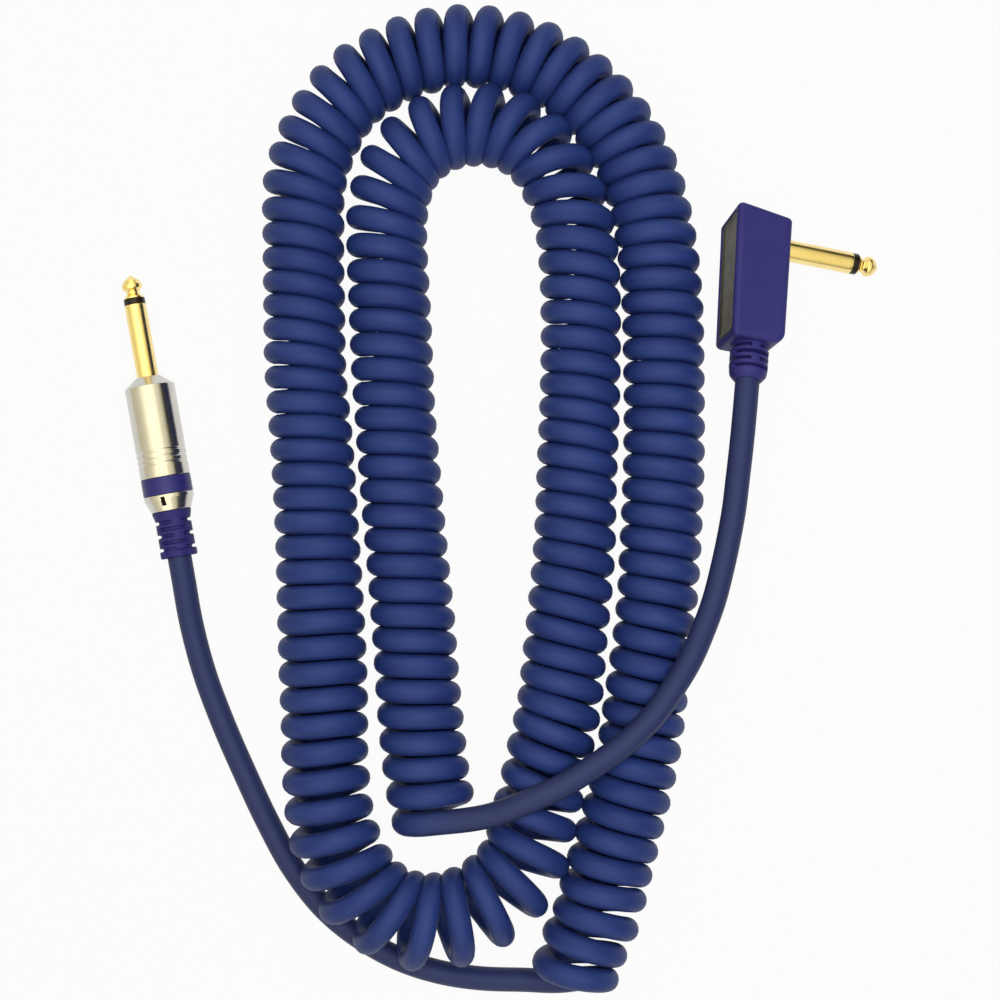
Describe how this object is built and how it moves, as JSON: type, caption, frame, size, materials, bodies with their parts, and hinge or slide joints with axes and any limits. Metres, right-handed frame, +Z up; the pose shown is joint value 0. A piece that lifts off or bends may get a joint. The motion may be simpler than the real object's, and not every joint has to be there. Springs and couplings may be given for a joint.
{
  "type": "instrument cable",
  "caption": "Coiled instrument cable with a straight metal-shelled phone plug and a moulded right-angle phone plug.",
  "frame": {"origin": "on the table under the middle of the box round the two plugs", "axes": "+X from the straight plug to the right-angle plug, +Y the way the straight plug points, +Z up from the table"},
  "size_m": [0.2257, 0.292, 0.0318],
  "materials": {
    "gilt": "polished gilt",
    "black_insulator": "smooth moulded ring",
    "nickel": "satin-bright nickel, turned",
    "colour_ring": "smooth moulded plastic",
    "boot": "soft matt rubber",
    "housing": "moulded soft PVC, fine satin",
    "badge": "dark bronze plate",
    "jacket": "matt flexible PVC",
    "inner_mould": "moulded",
    "contact_brass": "plain stamped brass",
    "braid": "bare copper strands, gathered",
    "white_insulation": "extruded insulation",
    "collet": "moulded nylon"
  },
  "bodies": {
    "root": {"straight_tip": "gilt", "straight_tip_ring": "black_insulator", "straight_sleeve": "gilt", "straight_sleeve_tube": "white_insulation", "straight_tip_rod": "contact_brass", "straight_insert": "inner_mould", "straight_tip_lug": "contact_brass", "straight_ground_lug": "contact_brass", "straight_collet": "collet", "straight_core": "white_insulation", "straight_braid": "braid", "straight_cord_end": "jacket", "angle_tip": "gilt", "angle_tip_ring": "black_insulator", "angle_sleeve": "gilt", "angle_sleeve_tube": "white_insulation", "angle_tip_rod": "contact_brass", "angle_housing": "housing", "angle_badge": "badge", "angle_insert": "inner_mould", "angle_tip_lug": "contact_brass", "angle_ground_lug": "contact_brass", "angle_core": "white_insulation", "angle_braid": "braid", "angle_cord_end": "jacket", "cord_tail_straight": "jacket", "cord_coil": "jacket", "cord_tail_angle": "jacket"},
    "shell": {"straight_shell": "nickel"},
    "boot": {"straight_boot": "boot"},
    "nut": {"straight_rear_nut": "nickel", "straight_colour_ring": "colour_ring"}
  },
  "joints": [
    {"name": "boot_slide", "type": "slide", "parent": "root", "child": "boot", "axis": [0.1736, -0.9848, 0], "range_m": [0, 0.00375]},
    {"name": "nut_turn", "type": "hinge", "parent": "boot", "child": "nut", "pos_m": [-0.104, 0.002, 0.00735], "axis": [0.1736, -0.9848, 0], "range_deg": [0, 1800]},
    {"name": "shell_slide", "type": "slide", "parent": "root", "child": "shell", "axis": [-0.1736, 0.9848, 0], "range_m": [0, 0.06]}
  ],
  "couplings": [
    {"joint": "boot_slide", "follows": "nut_turn", "m_per_rad": 0.00011936}
  ]
}
